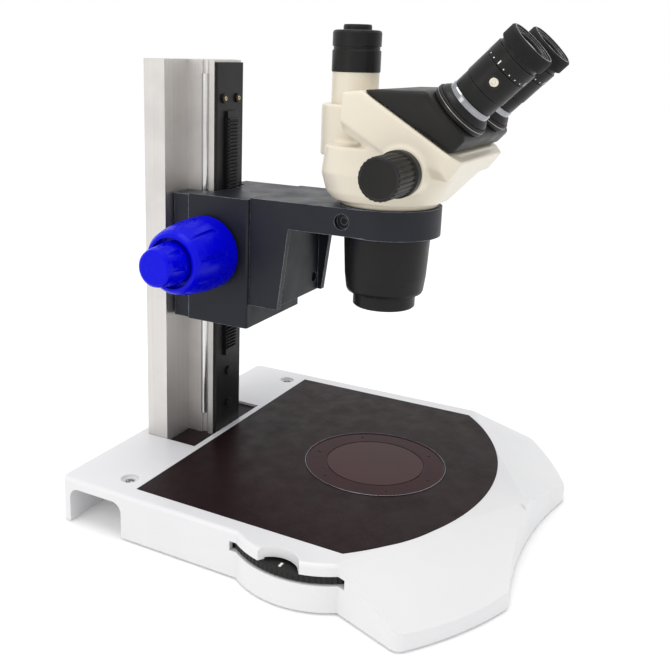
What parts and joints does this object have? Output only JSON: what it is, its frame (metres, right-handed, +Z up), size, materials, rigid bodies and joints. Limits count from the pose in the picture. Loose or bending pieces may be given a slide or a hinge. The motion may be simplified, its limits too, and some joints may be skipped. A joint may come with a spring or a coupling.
{
  "type": "stereo microscope",
  "caption": "Stereo microscope with inclined binocular head and camera port on a rack-and-pinion focusing column over a cast mirror base.",
  "frame": {"origin": "middle of the footprint, on the bench under the four rubber feet", "axes": "+Z up; -Y is the user's side, +Y the column's side; +X is to the user's right"},
  "size_m": [0.3662, 0.3682, 0.4186],
  "materials": {
    "white_enamel": "satin enamel",
    "slate_enamel": "fine-textured enamel",
    "anodised_aluminium": "satin anodised",
    "steel": "ground",
    "chrome": "polished",
    "black_plate": "fine speckle",
    "black_metal": "satin black",
    "black_plastic": "satin",
    "rubber": "matt",
    "blue_plastic": "gloss moulded",
    "stage_ring_plastic": "gloss",
    "clear_glass": "clear",
    "coated_glass": "coated",
    "mirror": "silvered",
    "brass_screw": "machined"
  },
  "bodies": {
    "base": {"base_casting": "white_enamel", "rubber_feet": "rubber", "stage_plate": "black_plate", "stage_ring": "stage_ring_plastic", "stage_glass": "clear_glass", "clip_hole_bushes": "steel", "wheel_axle": "steel", "mechanism_cover": "steel", "column": "anodised_aluminium", "guide_rods": "steel", "column_foot_plate": "black_plate", "rack_plate": "black_metal", "rack": "black_metal", "rack_plate_screws": "brass_screw"},
    "wheel": {"mirror_wheel": "black_plastic"},
    "mirror": {"mirror_shaft": "steel", "friction_roller": "rubber", "mirror_holder": "black_metal", "mirror_glass": "mirror"},
    "carriage": {"carriage_body": "slate_enamel", "guide_jaw_left": "slate_enamel", "guide_jaw_right": "slate_enamel", "slide_strips": "brass_screw", "shaft_bushes": "brass_screw", "arm_bracket": "slate_enamel", "bracket_screws": "black_metal", "clamp_screw": "black_metal"},
    "coarse_drive": {"pinion_shaft": "steel", "coarse_knob_left": "blue_plastic", "coarse_knob_right": "blue_plastic"},
    "fine_drive": {"fine_shaft": "steel", "fine_knob_left": "blue_plastic", "fine_knob_right": "blue_plastic"},
    "head": {"head_casting": "white_enamel", "head_cover": "black_plastic", "objective_housing": "black_metal", "objective_ring": "black_metal", "objective_lens": "clear_glass", "phototube": "white_enamel", "camera_port": "black_metal", "port_cap": "black_plastic", "zoom_lens_tubes": "black_metal", "eyepiece_prisms": "clear_glass"},
    "zoom": {"zoom_shaft": "steel", "zoom_knob_left": "black_plastic", "zoom_knob_right": "black_plastic"},
    "eyepiece_left": {"turret_left": "black_plastic", "eyepiece_tube_left": "chrome", "eyepiece_barrel_left": "black_metal", "lock_screw_left": "chrome"},
    "eyepiece_right": {"turret_right": "black_plastic", "eyepiece_tube_right": "chrome", "eyepiece_barrel_right": "black_metal", "lock_screw_right": "chrome"},
    "dioptre_left": {"diopter_ring_left": "black_metal", "eyecup_left": "rubber", "eye_lens_left": "coated_glass"},
    "dioptre_right": {"diopter_ring_right": "black_metal", "eyecup_right": "rubber", "eye_lens_right": "coated_glass"}
  },
  "joints": [
    {"name": "focus_slide", "type": "slide", "parent": "base", "child": "carriage", "axis": [0, 0, 1], "range_m": [-0.095, 0.105]},
    {"name": "coarse_turn", "type": "hinge", "parent": "carriage", "child": "coarse_drive", "pos_m": [0, 0.111, 0.2245], "axis": [1, 0, 0], "range_deg": [-1010, 915]},
    {"name": "fine_turn", "type": "hinge", "parent": "carriage", "child": "fine_drive", "pos_m": [0, 0.111, 0.2245], "axis": [1, 0, 0], "range_deg": [-6060, 5490]},
    {"name": "head_turn", "type": "hinge", "parent": "carriage", "child": "head", "pos_m": [0, -0.035, 0.275], "axis": [0, 0, 1], "continuous": true},
    {"name": "zoom_turn", "type": "hinge", "parent": "head", "child": "zoom", "pos_m": [0, -0.067, 0.309], "axis": [1, 0, 0], "range_deg": [-140, 140]},
    {"name": "left_eyepiece_turn", "type": "hinge", "parent": "head", "child": "eyepiece_left", "pos_m": [-0.031, -0.1011, 0.3506], "axis": [0, -0.7071, 0.7071], "range_deg": [-45, 40]},
    {"name": "right_eyepiece_turn", "type": "hinge", "parent": "head", "child": "eyepiece_right", "pos_m": [0.031, -0.1011, 0.3506], "axis": [0, -0.7071, 0.7071], "range_deg": [-40, 45]},
    {"name": "left_dioptre_turn", "type": "hinge", "parent": "eyepiece_left", "child": "dioptre_left", "pos_m": [-0.03, -0.098, 0.3537], "axis": [0, -0.7071, 0.7071], "range_deg": [-120, 120]},
    {"name": "right_dioptre_turn", "type": "hinge", "parent": "eyepiece_right", "child": "dioptre_right", "pos_m": [0.03, -0.098, 0.3537], "axis": [0, -0.7071, 0.7071], "range_deg": [-120, 120]},
    {"name": "mirror_wheel_turn", "type": "hinge", "parent": "base", "child": "wheel", "pos_m": [-0.1044, -0.035, 0.0277], "axis": [0, 0, 1], "range_deg": [-15, 15]},
    {"name": "mirror_tilt", "type": "hinge", "parent": "base", "child": "mirror", "pos_m": [0, -0.035, 0.018], "axis": [1, 0, 0], "range_deg": [-31, 31]}
  ],
  "couplings": [
    {"joint": "coarse_turn", "follows": "focus_slide", "rad_per_m": -166.67},
    {"joint": "fine_turn", "follows": "focus_slide", "rad_per_m": -1000},
    {"joint": "right_eyepiece_turn", "follows": "left_eyepiece_turn", "ratio": -1},
    {"joint": "mirror_tilt", "follows": "mirror_wheel_turn", "ratio": -2.0328}
  ]
}
